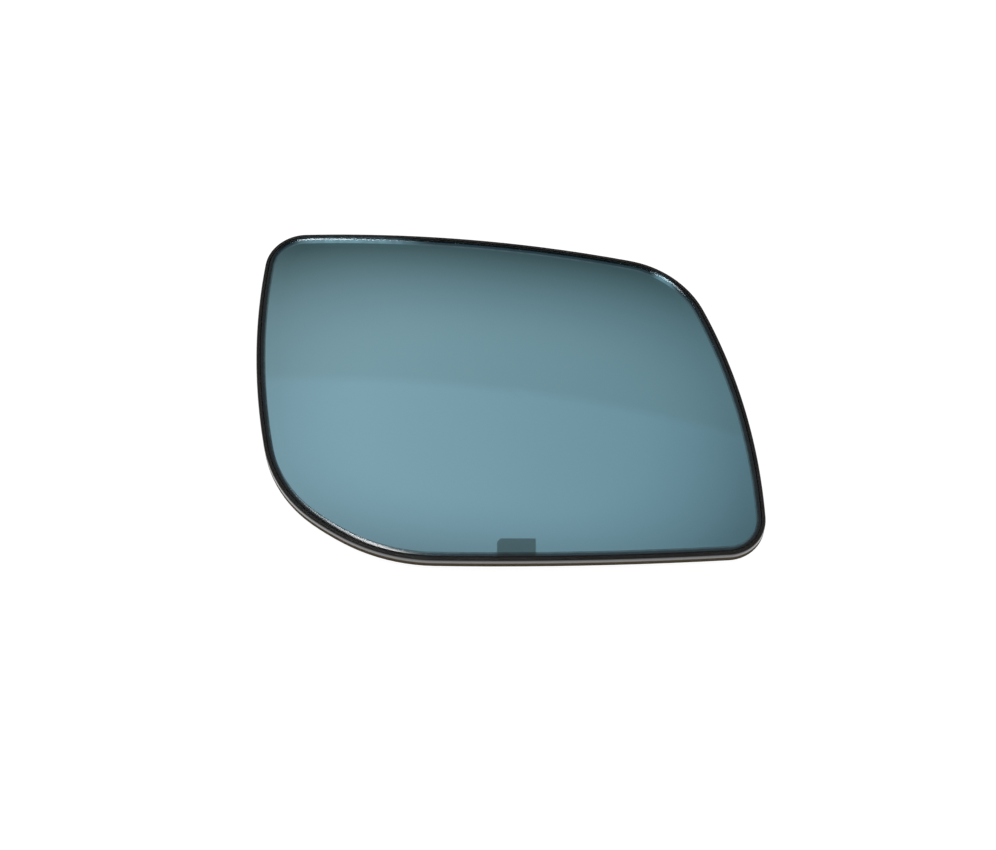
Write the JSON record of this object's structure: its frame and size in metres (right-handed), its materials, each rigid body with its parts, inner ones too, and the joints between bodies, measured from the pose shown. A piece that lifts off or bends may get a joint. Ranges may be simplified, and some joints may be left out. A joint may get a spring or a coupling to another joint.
{
  "type": "door mirror glass",
  "caption": "Convex blue-tinted door mirror glass bonded into a black moulded holder with a rounded rim and a rear ring of snap fingers for the mirror's actuator.",
  "frame": {"origin": "axis of the rear snap ring, at the middle of the outline's box, on the plane of the ring's free end", "axes": "+Z out of the glass towards the viewer, +X to the viewer's right, +Y up as fitted on the door"},
  "size_m": [0.2002, 0.1491, 0.0143],
  "materials": {
    "mirror_glass": "polished",
    "adhesive_pad": "matte",
    "holder": "satin"
  },
  "bodies": {
    "root": {"mirror_glass": "mirror_glass", "adhesive_pad": "adhesive_pad", "holder": "holder"}
  },
  "joints": []
}
